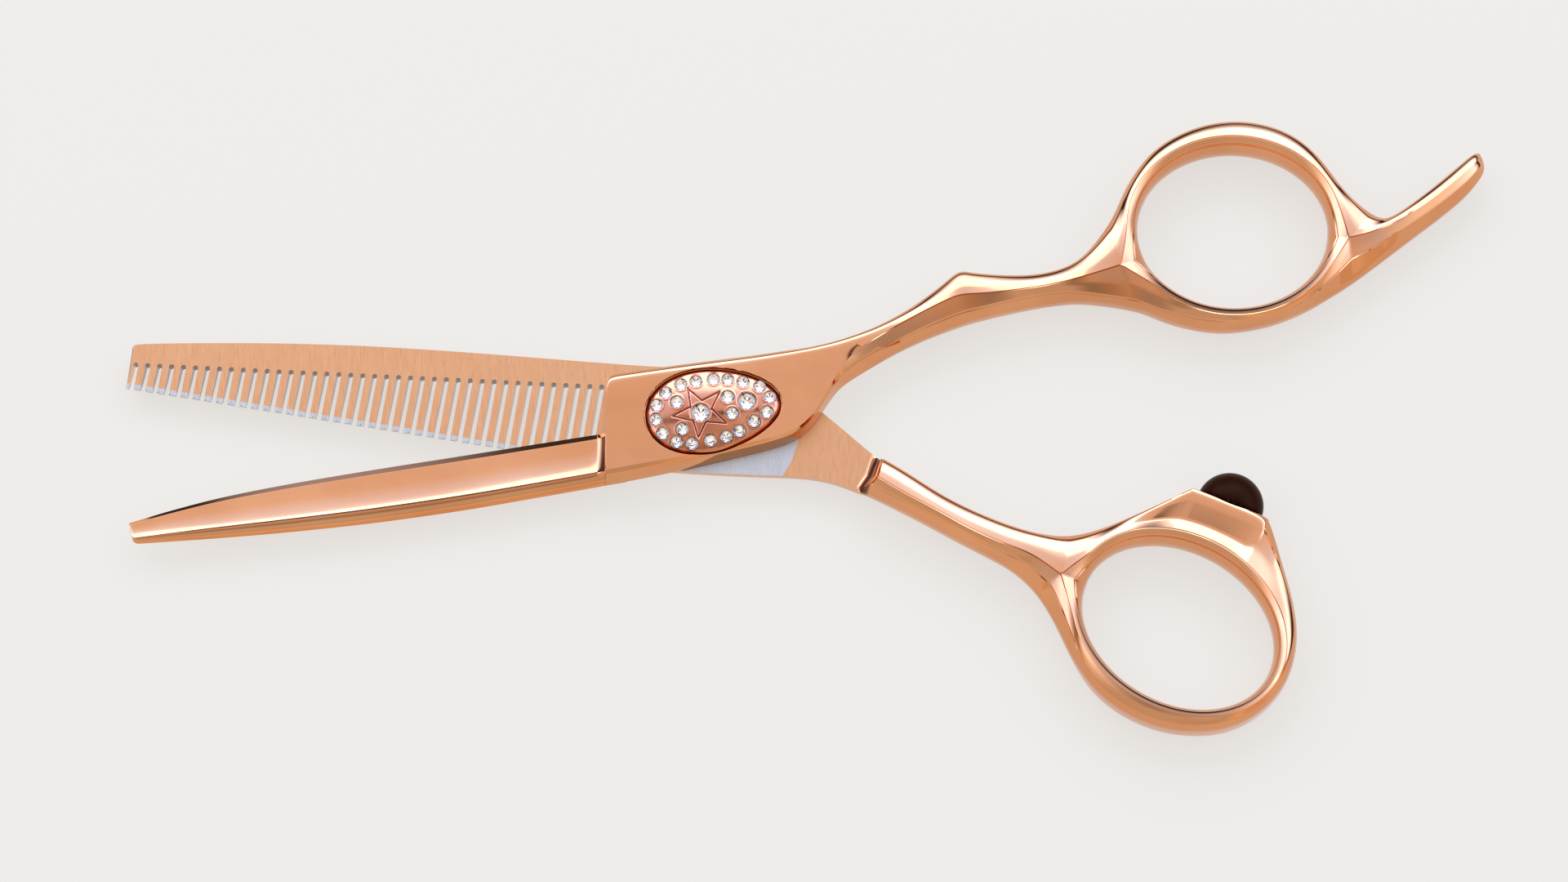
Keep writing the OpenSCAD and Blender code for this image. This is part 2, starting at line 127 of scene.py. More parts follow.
def make_world():
    """Studio surround: dark at the horizon, bright half way up, warmer near the camera."""
    world = bpy.data.worlds.new("studio")
    bpy.context.scene.world = world
    world.use_nodes = True
    tree = world.node_tree
    tree.nodes.clear()
    coord = node(tree, "ShaderNodeTexCoord")
    _, y, z = xyz(tree, coord.outputs["Generated"])
    side = smooth_step(tree, y, (-0.55, 0.05), (0.28, 1.0))

    # a narrow dark gap between the lights overhead
    from_gap = math_node(tree, "ABSOLUTE", math_node(tree, "SUBTRACT", y, GAP_MIDDLE))
    edge = smooth_step(tree, from_gap, (0.015, 0.06), (0.12, 1.0))
    open_gap = math_node(tree, "MAXIMUM", edge, under(tree, z, GAP_TOP))

    # the near side is warmer
    warmth = node(tree, "ShaderNodeMix", data_type="RGBA", blend_type="MULTIPLY")
    warmth.inputs["B"].default_value = (1.2, 0.92, 0.56, 1)
    away = math_node(tree, "SUBTRACT", 1.0, side)
    tree.links.new(math_node(tree, "MULTIPLY", away, 1.38), warmth.inputs["Factor"])
    tree.links.new(sky_ramp(tree, z), warmth.inputs["A"])
    sky = node(tree, "ShaderNodeBackground")
    tree.links.new(warmth.outputs["Result"], sky.inputs["Color"])
    strength = math_node(tree, "MULTIPLY", all_of(tree, side, open_gap), SKY_STRENGTH * TINT_ROOM)
    tree.links.new(strength, sky.inputs["Strength"])

    # a warm fill, low on the near side
    near = smooth_step(tree, y, (0.1, -0.35), (0.0, 0.85))
    low = smooth_step(tree, z, (0.26, 0.5), (1.0, 0.0))
    fill = node(tree, "ShaderNodeBackground")
    fill.inputs["Color"].default_value = (1, 0.86, 0.68, 1)
    tree.links.new(all_of(tree, near, low), fill.inputs["Strength"])

    total = node(tree, "ShaderNodeAddShader")
    tree.links.new(sky.outputs[0], total.inputs[0])
    tree.links.new(fill.outputs[0], total.inputs[1])
    tree.links.new(total.outputs[0], node(tree, "ShaderNodeOutputWorld").inputs[0])


# ---------------------------------------------------------------- materials
def new_material(name):
    material = bpy.data.materials.new(name)
    material.use_nodes = True
    tree = material.node_tree
    return material, tree, tree.nodes["Principled BSDF"]


def node(tree, kind, **values):
    made = tree.nodes.new(kind)
    for key, value in values.items():
        if hasattr(made, key):
            setattr(made, key, value)
        else:
            made.inputs[key].default_value = value
    return made


def math_node(tree, operation, a, b=None):
    made = node(tree, "ShaderNodeMath", operation=operation)
    for index, value in enumerate((a, b)):
        if value is None:
            continue
        if isinstance(value, (int, float)):
            made.inputs[index].default_value = value
        else:
            tree.links.new(value, made.inputs[index])
    return made.outputs[0]


def xyz(tree, vector):
    """The three parts of a vector socket."""
    split = node(tree, "ShaderNodeSeparateXYZ")
    tree.links.new(vector, split.inputs[0])
    return [split.outputs[k] for k in "XYZ"]


def smooth_step(tree, value, given, wanted):
    """Maps the span given onto the span wanted, easing in and out."""
    span = node(tree, "ShaderNodeMapRange", interpolation_type="SMOOTHSTEP")
    for key, number in zip(("From Min", "From Max", "To Min", "To Max"), (*given, *wanted)):
        span.inputs[key].default_value = number
    tree.links.new(value, span.inputs["Value"])
    return span.outputs[0]


def over(tree, value, limit):
    return math_node(tree, "GREATER_THAN", value, limit)


def under(tree, value, limit):
    return math_node(tree, "LESS_THAN", value, limit)


def all_of(tree, *masks):
    """The product of the masks: 1 where every one of them is 1."""
    result = masks[0]
    for mask in masks[1:]:
        result = math_node(tree, "MULTIPLY", result, mask)
    return result


def blend(tree, share, first, second, kind="RGBA"):
    """first where share is 0, second where it is 1; each is a socket or a colour."""
    mix = node(tree, "ShaderNodeMix", data_type=kind)
    for key, value in (("Factor", share), ("A", first), ("B", second)):
        if isinstance(value, tuple):
            mix.inputs[key].default_value = (*value, 1)
        else:
            tree.links.new(value, mix.inputs[key])
    return mix.outputs["Result"]


def plain_material(name, colour, roughness):
    material, _, shader = new_material(name)
    shader.inputs["Base Color"].default_value = (*colour, 1)
    shader.inputs["Roughness"].default_value = roughness
    return material


def stretched_noise(tree, scale, stretch, turn=0.0, detail=4.0):
    """Noise in the piece's own coordinates, drawn out along one direction."""
    coord = node(tree, "ShaderNodeTexCoord")
    mapping = node(tree, "ShaderNodeMapping")
    mapping.inputs["Rotation"].default_value = (0, 0, turn)
    mapping.inputs["Scale"].default_value = stretch
    noise = node(tree, "ShaderNodeTexNoise", Scale=scale, Detail=detail)
    tree.links.new(coord.outputs["Object"], mapping.inputs[0])
    tree.links.new(mapping.outputs[0], noise.inputs["Vector"])
    return noise.outputs["Fac"]


def ranged(tree, value, low, high):
    span = node(tree, "ShaderNodeMapRange")
    span.inputs["From Min"].default_value = 0.3
    span.inputs["From Max"].default_value = 0.7
    span.inputs["To Min"].default_value = low
    span.inputs["To Max"].default_value = high
    tree.links.new(value, span.inputs["Value"])
    return span.outputs[0]


def tinted(tree, value, dark, light):
    return blend(tree, ranged(tree, value, 0, 1), dark, light)


def bumped(tree, shader, value, strength, distance):
    bump = node(tree, "ShaderNodeBump", Strength=strength, Distance=distance)
    tree.links.new(value, bump.inputs["Height"])
    tree.links.new(bump.outputs[0], shader.inputs["Normal"])


def polished_metal(name, dark, light, rough=(0.05, 0.11)):
    """Mirror-polished plating: faint polishing lines, a slow change of tone, soft haze."""
    material, tree, shader = new_material(name)
    shader.inputs["Metallic"].default_value = 1
    haze = stretched_noise(tree, 90, (1, 1, 1))
    lines = stretched_noise(tree, 900, (0.08, 1, 1), math.radians(-20))
    tree.links.new(tinted(tree, haze, dark, light), shader.inputs["Base Color"])
    tree.links.new(ranged(tree, lines, *rough), shader.inputs["Roughness"])
    bumped(tree, shader, lines, 0.02, 0.00002)
    return material


ROSE_DARK = (0.68, 0.285, 0.125)
ROSE_LIGHT = (0.77, 0.35, 0.165)


def steel_material():
    material, tree, shader = new_material("turned_steel")
    shader.inputs["Metallic"].default_value = 1
    lines = stretched_noise(tree, 1500, (1, 1, 0.1))
    colour = tinted(tree, lines, (0.6, 0.61, 0.63), (0.75, 0.76, 0.78))
    tree.links.new(colour, shader.inputs["Base Color"])
    tree.links.new(ranged(tree, lines, 0.18, 0.34), shader.inputs["Roughness"])
    bumped(tree, shader, lines, 0.05, 0.00002)
    return material


def bumper_material():
    material, tree, shader = new_material("bumper_gloss")
    mottle = stretched_noise(tree, 300, (1, 1, 1))
    colour = tinted(tree, mottle, (0.012, 0.0026, 0.0008), (0.022, 0.0048, 0.0014))
    tree.links.new(colour, shader.inputs["Base Color"])
    tree.links.new(ranged(tree, mottle, 0.22, 0.34), shader.inputs["Roughness"])
    shader.inputs["Specular IOR Level"].default_value = 0.05
    shader.inputs["Specular Tint"].default_value = (1, 0.45, 0.25, 1)
    bumped(tree, shader, mottle, 0.03, 0.00005)
    return material


# line of the tooth tips and line of the slots' round ends: height at x = 0, drop along x
TIP_HEIGHT, TIP_DROP = -7.52, 0.1655
ROOT_HEIGHT, ROOT_DROP = 3.89, 0.0489
BARE_TIP = 0.6             # length of bare steel at the tip of a tooth
SLOTTED = (-68.9, -9.5)    # the slots' stretch of the comb, along x
DISC_RADIUS, DISC_TOP, DISC_START = 12.1, 3, -9
FLAT_END = 22              # x where the flat gives way to the shank


def comb_half_material():
    """The comb half: polished outside, brushed inner face, bare disc and tooth tips; painted shade
    in the shank's corner and on the slots' walls.
    """
    material, tree, shader = new_material("comb_half_metal")
    coord = node(tree, "ShaderNodeTexCoord")
    geometry = node(tree, "ShaderNodeNewGeometry")
    x, y, z = xyz(tree, coord.outputs["Object"])
    *_, facing_up = xyz(tree, geometry.outputs["True Normal"])

    def scaled(value, factor):
        return math_node(tree, "MULTIPLY", value, factor)

    # the inner face, in a narrow band of height
    face = all_of(tree, over(tree, z, (RIDE - 0.06) * MM), under(tree, z, (RIDE + 0.04) * MM),
                  under(tree, x, FLAT_END * MM))
    # bare disc round the pivot
    square = math_node(tree, "ADD", scaled(x, x), scaled(y, y))
    radius = math_node(tree, "SQRT", square)
    disc = all_of(tree, face, under(tree, radius, DISC_RADIUS * MM),
                  under(tree, y, DISC_TOP * MM), over(tree, x, DISC_START * MM))
    # bare tooth tips
    tip_line = math_node(tree, "ADD", y, scaled(x, TIP_DROP))
    above_tips = math_node(tree, "SUBTRACT", tip_line, TIP_HEIGHT * MM)
    tips = all_of(tree, under(tree, above_tips, BARE_TIP * MM), under(tree, x, -12 * MM))
    bare = math_node(tree, "MAXIMUM", disc, tips)
    brushed = math_node(tree, "MAXIMUM", face, tips)
    # the deep corner where the shank rises from the flat, painted dark: painted shade
    across = math_node(tree, "SUBTRACT", scaled(x, 0.9), scaled(y, 0.435))
    fade = smooth_step(tree, across, (21.9 * MM, 22.5 * MM), (0.93, 0.0))
    painted_corner_shade = all_of(tree, over(tree, across, 20.8 * MM), fade, over(tree, z, (RIDE + 0.06) * MM))
    # walls of the slots, painted darker: painted shade in the deep slots
    upright = under(tree, math_node(tree, "ABSOLUTE", facing_up), 0.4)
    root_line = math_node(tree, "ADD", y, scaled(x, ROOT_DROP))
    wall = all_of(tree, upright, under(tree, root_line, ROOT_HEIGHT * MM),
                  under(tree, x, SLOTTED[1] * MM), over(tree, x, SLOTTED[0] * MM))

    brush = stretched_noise(tree, 9000, (1, 0.05, 0.2), math.radians(6))
    fine = stretched_noise(tree, 17000, (1, 0.05, 0.2), math.radians(12))
    lines = math_node(tree, "ADD", scaled(brush, 0.6), scaled(fine, 0.4))
    haze = stretched_noise(tree, 90, (1, 1, 1))
    brushed_rose = tinted(tree, lines, (0.675, 0.31, 0.133), (0.735, 0.345, 0.15))
    polished_rose = tinted(tree, haze, ROSE_DARK, ROSE_LIGHT)
    steel = tinted(tree, lines, (0.50, 0.455, 0.40), (0.59, 0.54, 0.475))
    colour = blend(tree, brushed, polished_rose, brushed_rose)
    # painted shade in the shank's corner
    colour = blend(tree, painted_corner_shade, colour, (0.07, 0.018, 0.006))
    # painted shade on the slots' walls
    colour = blend(tree, wall, colour, (0.11, 0.035, 0.013))
    colour = blend(tree, bare, colour, steel)
    tree.links.new(colour, shader.inputs["Base Color"])
    shader.inputs["Metallic"].default_value = 1
    smooth, coarse = ranged(tree, haze, 0.05, 0.11), ranged(tree, lines, 0.24, 0.38)
    rough = blend(tree, brushed, smooth, coarse, "FLOAT")
    tree.links.new(rough, shader.inputs["Roughness"])
    bumped(tree, shader, all_of(tree, lines, face), 0.02, 0.00002)
    return material


def crystal_material():
    material, tree, shader = new_material("crystal_glass")
    cloud = stretched_noise(tree, 700, (1, 1, 1))
    colour = tinted(tree, cloud, (0.97, 0.96, 0.93), (1, 0.99, 0.96))
    tree.links.new(colour, shader.inputs["Base Color"])
    tree.links.new(ranged(tree, cloud, 0.0, 0.03), shader.inputs["Roughness"])
    shader.inputs["Transmission Weight"].default_value = 1
    shader.inputs["IOR"].default_value = 1.6
    return material


# ---------------------------------------------------------------- curves
def spline(points, steps=STEPS):
    """Catmull-Rom curve through the points, ends included."""
    p = np.asarray(points, float)
    out = []
    for i in range(len(p) - 1):
        a, b, c, d = p[max(i - 1, 0)], p[i], p[i + 1], p[min(i + 2, len(p) - 1)]
        t = np.linspace(0, 1, steps, endpoint=False)[:, None]
        out.append(0.5 * (2 * b + (c - a) * t + (2 * a - 5 * b + 4 * c - d) * t ** 2
                          + (3 * b - a - 3 * c + d) * t ** 3))
    return np.vstack([*out, p[-1:]])


def even(values, steps=STEPS):
    """The values at the mesh columns, drawn evenly between their stations."""
    v = np.asarray(values, float)
    last = len(v) - 1
    return np.array([np.interp(np.arange(last * steps + 1) / steps, np.arange(last + 1), column)
                     for column in v.reshape(len(v), -1).T]).T


def relax(curve, passes, hold=()):
    """Evens a curve out; it stays put at its ends and near the held points."""
    c = curve.copy()
    weight = np.ones(len(c))
    for h in hold:
        away = np.abs(np.arange(len(c)) - h) / (0.9 * STEPS)
        weight = np.minimum(weight, np.clip(away, 0, 1) ** 2)
    weight[[0, -1]] = 0
    weight = weight[:, None]
    for _ in range(passes):
        middle = (np.roll(c, 1, 0) + np.roll(c, -1, 0)) / 2
        c = c + 0.5 * weight * (middle - c)
    return c


def turned(v, degrees):
    a = math.radians(degrees)
    v = np.asarray(v, float)
    return np.stack([v[..., 0] * math.cos(a) - v[..., 1] * math.sin(a),
                     v[..., 0] * math.sin(a) + v[..., 1] * math.cos(a)], -1)


def oval(centre, radii, tilt, t):
    t = np.radians(t)
    level = np.stack([radii[0] * np.cos(t), radii[1] * np.sin(t)], -1)
    return np.asarray(centre) + turned(level, tilt)


# ---------------------------------------------------------------- sections
# A profile goes from the outline (across 0) to the crest (across 1):
# height at the outline, three corners (across, height, rounding), height at the crest.
PROFILES = {
    "flat": (0, (0.1, 0, 0.3), (0.3, 0, 0.3), (0.6, 0, 0.3), 0),
    "block_upper": (0, (0.0, 2.2, 0.05), (0.035, 2.64, 0.4), (0.09, 2.76, 0.4), 2.7),
    "block_lower": (0, (0.06, 0.5, 0.3), (0.5, 2.2, 0.08), (0.75, 2.45, 0.3), 2.7),
    "shank_upper": (0, (0.02, 1.7, 0.3), (0.14, 2.6, 0.35), (0.55, 3.12, 0.45), 3.3),
    "shank_lower": (0, (0.03, 0.9, 0.3), (0.5, 2.72, 0.06), (0.75, 3.0, 0.3), 3.3),
    "notch_lower": (0, (0.02, 1.0, 0.3), (0.33, 2.72, 0.06), (0.7, 3.05, 0.3), 3.3),
    "wide_lower": (0, (0.02, 1.2, 0.3), (0.15, 2.5, 0.1), (0.6, 3.05, 0.2), 3.3),
    "ring_outer": (0, (0.02, 1.6, 0.3), (0.2, 2.62, 0.3), (0.6, 3.12, 0.4), 3.3),
    "ring_inner": (0, (0.08, 1.3, 0.45), (0.45, 2.8, 0.12), (0.7, 3.05, 0.3), 3.3),
    "boss": (0, (0.0, 2.3, 0.2), (0.04, 2.78, 0.4), (0.74, 2.66, 0.1), 3.3),
    "boss_side": (0, (0.0, 1.65, 0.1), (0.26, 2.62, 0.12), (0.6, 2.8, 0.3), 3.3),
    "comb_top": (-0.1, (0.1, -0.1, 0.3), (0.3, -0.1, 0.3), (0.6, -0.1, 0.3), -0.1),
    "comb_spine": (0.1, (0.0, 0.9, 0.3), (0.14, 2.0, 0.3), (0.5, 2.2, 0.3), 2.2),
    "comb_teeth": (0.1, (0.0, 0.75, 0.3), (0.4, 1.4, 0.3), (0.7, 1.9, 0.3), 2.2),
    "ride_back": (0.1, (0.0, 1.6, 0.3), (0.08, 2.3, 0.3), (0.3, 2.4, 0.3), 2.4),
}
CORNER_STEPS = 5


def profile_row(name, scale=1.0):
    start, *corners, crest = PROFILES[name]
    return [start * scale, *(v for a, h, f in corners for v in (a, h * scale, f)), crest * scale]


def mixed_row(first, second, share):
    a, b = np.asarray(profile_row(first)), np.asarray(profile_row(second))
    return (a + (b - a) * share).tolist()


# half width and depth of the fine lines along a crest and along a facet's edge
LINE_WIDTH, LINE_DEPTH = 0.14, 0.1


def rows_of(profiles, width):
    """(columns, rows, 2): across and height of every row of a strip, its corners rounded."""
    q = np.asarray(profiles, float)
    n = len(q)
    knots = [np.stack([np.zeros(n), q[:, 0]], -1)]
    for k in range(3):
        knots.append(q[:, 1 + 3 * k:3 + 3 * k])
    knots.append(np.stack([np.ones(n), q[:, -1]], -1))
    rows = [knots[0]]
    for k in (1, 2, 3):
        f = q[:, 3 * k][:, None]
        a = knots[k] + (knots[k - 1] - knots[k]) * f
        b = knots[k] + (knots[k + 1] - knots[k]) * f
        for s in np.linspace(0, 1, CORNER_STEPS):
            rows.append(a * (1 - s) ** 2 + knots[k] * 2 * s * (1 - s) + b * s ** 2)
    near = np.clip(LINE_WIDTH / width, 0.01, 0.1)[:, None]
    sharp = (np.clip((0.3 - q[:, 6]) / 0.2, 0, 1) * np.clip((q[:, -1] - 3) / 0.25, 0, 1))[:, None]
    before = knots[2] + (knots[1] - knots[2]) * near / (q[:, 4] - q[:, 1])[:, None]
    after = knots[2] + (knots[3] - knots[2]) * near / (q[:, 7] - q[:, 4])[:, None]
    middle = (before + after) / 2
    middle[:, 1] -= LINE_DEPTH
    first = 1 + CORNER_STEPS
    for k, line in enumerate((before, (before + middle) / 2, middle, (middle + after) / 2, after)):
        rows[first + k] = rows[first + k] * (1 - sharp) + line * sharp
    rows.append(knots[4] + (rows[-1] - knots[4]) * near / (1 - q[:, 7:8]))
    crest = knots[4].copy()
    crest[:, 1] -= LINE_DEPTH * np.clip((crest[:, 1] - 2.85) / 0.3, 0, 1)
    rows.append(crest)
    return np.stack(rows, 1)


def strip(outline, crest, profiles, side):
    """A sheet of skin from an outline to a crest; side is +1 above the middle plane, -1 below."""
    r = rows_of(profiles, np.linalg.norm(crest - outline, axis=1))
    plan = outline[:, None, :] + (crest - outline)[:, None, :] * r[..., :1]
    return np.concatenate([plan, MID + side * r[..., 1:]], -1)


def mesh_from_grids(name, grids, caps=()):
    """One closed mesh from grids of points; grids are (points, flipped) and meet edge to edge."""
    points, faces = [], []
    start = 0
    for grid, flipped in grids:
        n, m = grid.shape[:2]
        index = start + np.arange(n * m).reshape(n, m)
        a, b, c, d = index[:-1, :-1], index[:-1, 1:], index[1:, 1:], index[1:, :-1]
        quads = np.stack([a, b, c, d], -1).reshape(-1, 4)
        faces.append(quads[:, ::-1] if flipped else quads)
        points.append(grid.reshape(-1, 3))
        start += n * m
    mesh = bpy.data.meshes.new(name)
    mesh.from_pydata((np.vstack(points) * MM).tolist(), [], np.vstack(faces).tolist())
    bm = bmesh.new()
    bm.from_mesh(mesh)
    bmesh.ops.remove_doubles(bm, verts=bm.verts, dist=0.000002)
    bmesh.ops.dissolve_degenerate(bm, edges=bm.edges, dist=0.000001)
    bmesh.ops.holes_fill(bm, edges=[e for e in bm.edges if e.is_boundary], sides=0)
    bmesh.ops.recalc_face_normals(bm, faces=bm.faces)
    bm.to_mesh(mesh)
    bm.free()
    made = bpy.data.objects.new(name, mesh)
    bpy.context.scene.collection.objects.link(made)
    return made


# ---------------------------------------------------------------- finger half
FINGER_CENTRE, FINGER_HOLE = (64.9, 23.7), (11.6, 9.85)
THUMB_CENTRE, THUMB_HOLE, THUMB_TILT = (57.5, -25.8), (12.2, 9.25), -32
INNER_SLOPE = 1.45

# upper outline, crest, lower outline, share of the shank's section (0 is the block's),
# profile of its upper side
FINGER_SHANK = [
    ((-11.4, 3.9), (-11.4, -6.9), (-11.4, -8.2), 0, "shank_upper"),
    ((-11.2, 4.7), (-11.2, -6.87), (-11.2, -8.15), 0, "shank_upper"),
    ((-10.5, 5.1), (-10.6, -6.75), (-10.6, -8.05), 0, "shank_upper"),
    ((-8.5, 5.45), (-8.5, -6.35), (-8.5, -7.65), 0, "shank_upper"),
    ((-3, 6.25), (-3, -5.35), (-3, -6.5), 0, "shank_upper"),
    ((3, 7.05), (3.5, -4.05), (3.3, -5), 0, "shank_upper"),
    ((6.5, 7.5), (8.5, -2.85), (8.6, -3.65), 0, "shank_upper"),
    ((9.6, 7.98), (11.6, -1.75), (12, -2.3), 0, "shank_upper"),
    ((11.6, 8.28), (13.6, 0.1), (14.1, -0.1), 0, "shank_upper"),
    ((13.3, 8.58), (14.9, 2.2), (15.4, 1.9), 0.03, "shank_upper"),
    ((15.2, 9.03), (16.4, 4.8), (16.9, 3.9), 0.12, "shank_upper"),
    ((17.4, 9.68), (18.6, 7.7), (19.3, 5.6), 0.35, "shank_upper"),
    ((21.2, 11.1), (22.2, 10.1), (23.2, 7.95), 0.65, "shank_upper"),
    ((25.4, 13.5), (26.3, 12.4), (27.2, 9.95), 0.9, "shank_upper"),
    ((29, 16.3), (29.6, 14.1), (30.5, 11.3), 1, "shank_upper"),
    ((31.4, 18.2), (31.7, 14.9), (32.6, 12.05), 1, "shank_upper"),
    ((34, 18), (34.4, 15.05), (35, 12.75), 1, "shank_upper"),
    ((39, 17.7), (39.4, 15.65), (39.8, 13.85), 1, "shank_upper"),
    ((43, 18.3), (43.4, 16.35), (43.5, 14.45), 1, "shank_upper"),
    ((46.4, 20), (47.2, 17.4), (47, 14.7), 1, "shank_upper"),
    ((49.6, 24.2), (50.9, 18.6), (53.3, 13.7), 1, "ring_outer"),
]
NOTCH_TIP = 15             # station of the pointed bump on the upper outline
FINGER_OVER = [
    (203, 49.6, 24.2), (180, 50.9, 26.8), (160, 52.2, 29.6), (140, 54.9, 33.3),
    (120, 58.6, 35.8), (100, 62.9, 37.2), (80, 67.4, 37.3), (60, 71.9, 35.9),
    (40, 75.4, 33), (20, 78.4, 28.7), (-8, 82, 25.5),
]
FINGER_UNDER = [
    (203, 53.3, 13.7), (225, 56.3, 12.4), (250, 60, 11.3), (270, 64, 10.9),
    (290, 69, 11.7), (315, 73.2, 13.3), (335, 76.2, 15), (352, 79.5, 17.1),
]
# upper outline, crest, lower outline, height of the crest above the middle plane
FINGER_REST = [
    ((82, 25.5), (78.9, 22.1), (79.5, 17.1), 3.3),
    ((84.2, 25.1), (81.7, 22.9), (83, 19.75), 3.15),
    ((87, 27.1), (85.2, 24.5), (87.2, 23), 2.95),
    ((90, 29.5), (88.5, 26.6), (90.6, 25.6), 2.75),
    ((92.6, 31.75), (92.2, 29.6), (93.5, 28.1), 2.6),
    ((94.1, 33.05), (94.3, 31.6), (95.3, 30.3), 2.25),
    ((94.8, 33.45), (95, 32.5), (95.85, 31.4), 1.75),
    ((95.25, 33.5), (95.4, 33), (95.86, 32.3), 1.0),
]
UNDERSIDE = [0, 0, 0, 0, 0, 0, 0, 0, 0, 0, 0.05, 0.2, 0.4, 0.65, 0.85, 0.95, 1, 1, 1, 1, 1]


JOINT_REACH = 26           # degrees over which a joint pulls a ring's crest out


def ring_crest(centre, radii, tilt, t, joints):
    """Crest of a ring: an oval pulled out where a shank or the finger rest joins it."""
    t = np.asarray(t, float)
    k = np.ones_like(t)
    for at, rise in joints:
        gap = np.abs((t - at + 180) % 360 - 180)
        k = k + rise * np.clip(1 - gap / JOINT_REACH, 0, 1) ** 2
    return np.asarray(centre) + (oval(centre, radii, tilt, t) - np.asarray(centre)) * k[:, None]


def join(*curves):
    return np.vstack([curves[0], *(c[1:] for c in curves[1:])])


def finger_half_mesh():
    upper = spline([s[0] for s in FINGER_SHANK] + [p[1:] for p in FINGER_OVER[1:]]
                   + [s[0] for s in FINGER_REST[1:]])
    lower = spline([s[2] for s in FINGER_SHANK] + [p[1:] for p in FINGER_UNDER[1:]]
                   + [s[2] for s in FINGER_REST[1:]])
    upper = relax(upper, 40, [2 * STEPS, NOTCH_TIP * STEPS])
    lower = relax(lower, 40)
    shank = relax(spline([s[1] for s in FINGER_SHANK]), 30)
    rest = relax(spline([s[1] for s in FINGER_REST]), 30)
    radii = np.asarray(FINGER_HOLE) + INNER_SLOPE
    joints = [(203, 0.15), (-8, 0.075)]
    over_t = even([p[0] for p in FINGER_OVER]).ravel()
    under_t = even([p[0] for p in FINGER_UNDER]).ravel()
    over = ring_crest(FINGER_CENTRE, radii, 0, over_t, joints)
    under = ring_crest(FINGER_CENTRE, radii, 0, under_t, joints)
    for line in (over, under):
        line[0], line[-1] = shank[-1], rest[0]
    top_upper = [mixed_row("block_upper", s[4], s[3]) for s in FINGER_SHANK]
    lower_kinds = {k: "notch_lower" for k in range(12, 17)} | {19: "wide_lower", 20: "wide_lower"}
    top_lower = [mixed_row("block_lower", lower_kinds.get(k, "shank_lower"), s[3])
                 for k, s in enumerate(FINGER_SHANK)]
    outer = profile_row("ring_outer")
    rest_upper = [profile_row("ring_outer", s[3] / 3.3) for s in FINGER_REST[1:]]
    rest_lower = [profile_row("shank_lower", s[3] / 3.3) for s in FINGER_REST[1:]]
    p_upper = relax(even(top_upper + [outer] * (len(FINGER_OVER) - 1) + rest_upper), 80)
    shank_lower = profile_row("shank_lower")
    under_kinds = [profile_row("wide_lower")] + [shank_lower] * (len(FINGER_UNDER) - 2)
    p_lower = relax(even(top_lower + under_kinds + rest_lower), 80)
    fade_upper = even(UNDERSIDE + [1] * (len(FINGER_OVER) - 1 + len(FINGER_REST) - 1))
    fade_lower = even(UNDERSIDE + [1] * (len(FINGER_UNDER) - 1 + len(FINGER_REST) - 1))

    def under_side(p, fade):
        q = p.copy()
        q[:, [0, 2, 5, 8, 10]] *= fade
        return q

    crest_upper, crest_lower = join(shank, over, rest), join(shank, under, rest)
    loop = join(over, under[::-1])
    loop_t = np.concatenate([over_t, under_t[::-1][1:]])
    hole = oval(FINGER_CENTRE, FINGER_HOLE, 0, loop_t)
    inner = even([profile_row("ring_inner")] * 2, len(loop) - 1)
    return mesh_from_grids("plain_half", [
        (strip(upper, crest_upper, p_upper, 1), False),
        (strip(upper, crest_upper, under_side(p_upper, fade_upper), -1), True),
        (strip(lower, crest_lower, p_lower, 1), True),
        (strip(lower, crest_lower, under_side(p_lower, fade_lower), -1), False),
        (strip(hole, loop, inner, 1), True),
        (strip(hole, loop, inner, -1), False),
    ])


# ---------------------------------------------------------------- plain blade
# cutting edge x, y, spine x, y, height of the ridge, rise of the shoulder towards the block
BLADE = [
    (-9, -1.3, -9, -7.8, 1.21, 1.25),
    (-11.3, -1.68, -11.3, -8.2, 1.21, 1.25),
    (-11.55, -1.72, -11.55, -8.24, 1.21, 0.89),
    (-11.9, -1.78, -11.9, -8.3, 1.21, 0.47),
    (-12.4, -1.86, -12.4, -8.4, 1.2, 0.18),
    (-13.2, -2, -13.2, -8.55, 1.2, 0),
    (-20, -3.1, -20, -9.8, 1.17, 0),
    (-29.5, -4.65, -29.5, -11.45, 1.1, 0),
    (-40, -6.35, -40, -12.95, 1.02, 0),
    (-50, -8.1, -50, -14.05, 0.92, 0),
    (-58, -9.75, -58, -14.75, 0.81, 0),
    (-64, -11.35, -63.5, -15.15, 0.71, 0),
    (-68, -12.58, -67.3, -15.42, 0.65, 0),
    (-68.9, -12.87, -68.1, -15.4, 0.58, 0),
    (-69.05, -12.95, -68.5, -15.15, 0.41, 0),
]
# the blade's section from the cutting edge to the spine: across, share of the ridge's height
HOLLOW = np.linspace(0, 1, 12)
SECTION = np.vstack([
    [(0, 0), (0, 0.1), (0.1, 0.47)],
    np.stack([0.11 + 0.63 * HOLLOW, 0.475 + 0.31 * HOLLOW ** 2.4], -1),
    [(0.745, 0.8), (0.765, 0.9), (0.775, 0.96), (0.79, 0.955),
     (0.84, 0.86), (0.9, 0.66), (0.95, 0.38), (1, 0)],
])


def plain_blade_mesh():
    b = np.asarray(BLADE)
    edge = spline(b[:, :2])
    spine = spline(b[:, 2:4])
    ridge = even(b[:, 4:5])
    shoulder = even(b[:, 5:])
    across, high = SECTION.T
    plan = edge[:, None, :] + (spine - edge)[:, None, :] * across[None, :, None]
    face = (high > 0.4) & (across < 0.8)
    z = MID + ridge * high + shoulder * face
    top = np.concatenate([plan, z[..., None]], -1)
    bottom = np.stack([edge, spine], 1)
    bottom = np.concatenate([bottom, np.full((*bottom.shape[:2], 1), MID)], -1)
    return mesh_from_grids("plain_blade_body", [(top, True), (bottom, False)])


